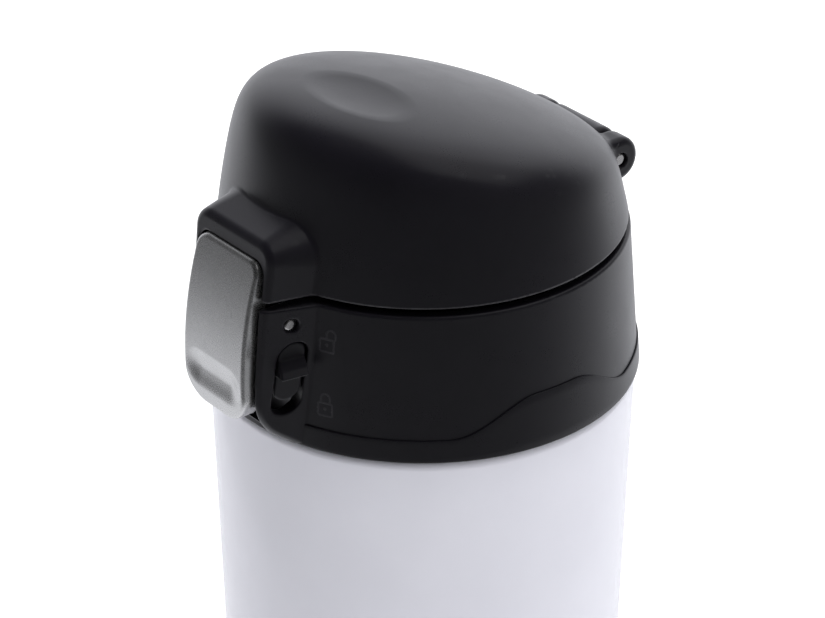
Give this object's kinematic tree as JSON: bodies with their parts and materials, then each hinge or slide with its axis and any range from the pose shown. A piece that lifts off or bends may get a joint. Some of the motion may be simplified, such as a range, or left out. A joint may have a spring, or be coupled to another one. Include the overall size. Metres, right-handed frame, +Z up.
{
  "type": "insulated travel mug",
  "caption": "Vacuum-walled travel mug with a tapered body, a screw-on collar, a domed flip lid on a rear hinge, a front release button and a side lock slider.",
  "frame": {"origin": "on the mug's axis, on the face it stands on", "axes": "+Z up along the mug's axis; -Y towards the release button, +Y towards the lid's hinge, +X towards the lock slider"},
  "size_m": [0.072, 0.0794, 0.1738],
  "materials": {
    "white_paint": "gloss",
    "steel": "satin",
    "foot_silicone": "matte",
    "silicone": "matte",
    "black_plastic": "satin",
    "inner_plastic": "matte",
    "gloss_black": "gloss",
    "silver_button": "satin"
  },
  "bodies": {
    "flask": {"outer_shell": "white_paint", "outer_bottom": "steel", "vacuum_plug": "steel", "getter_pellet": "steel", "inner_liner": "steel", "base_plate": "steel", "foot_pad": "foot_silicone"},
    "neck_gasket": {"neck_gasket": "silicone"},
    "lid_base": {"collar_shell": "black_plastic", "screw_insert": "inner_plastic", "mouthpiece": "inner_plastic", "mouthpiece_gasket": "silicone", "hinge_pin": "steel", "hinge_spring": "steel", "button_pin": "steel", "button_spring": "steel"},
    "flip_lid": {"lid_shell": "black_plastic", "lid_liner": "inner_plastic", "seal_retainer": "inner_plastic", "lid_seal": "silicone"},
    "release_button": {"button_lever": "inner_plastic", "button_cap": "silver_button"},
    "lock_slider": {"lock_knob": "gloss_black", "lock_bar": "inner_plastic"}
  },
  "joints": [
    {"name": "lid_lift", "type": "slide", "parent": "flask", "child": "neck_gasket", "axis": [0, 0, 1], "range_m": [0, 0.0201]},
    {"name": "lid_unscrew", "type": "hinge", "parent": "neck_gasket", "child": "lid_base", "pos_m": [0, 0, 0.13], "axis": [0, 0, 1], "range_deg": [0, 720]},
    {"name": "lid_flip", "type": "hinge", "parent": "lid_base", "child": "flip_lid", "pos_m": [0, 0.033, 0.1513], "axis": [-1, 0, 0], "range_deg": [0, 125], "deforming": ["hinge_spring"]},
    {"name": "button_press", "type": "hinge", "parent": "lid_base", "child": "release_button", "pos_m": [0, -0.0353, 0.144], "axis": [1, 0, 0], "range_deg": [0, 8], "stiffness_Nm_per_rad": 0.3, "springref_deg": -5.73, "deforming": ["button_spring"]},
    {"name": "lock_slide", "type": "slide", "parent": "lid_base", "child": "lock_slider", "axis": [0.0523, 0.129, 0.9903], "range_m": [-0.0022, 0]}
  ],
  "couplings": [
    {"joint": "lid_lift", "follows": "lid_unscrew", "m_per_rad": 0.0015915}
  ]
}
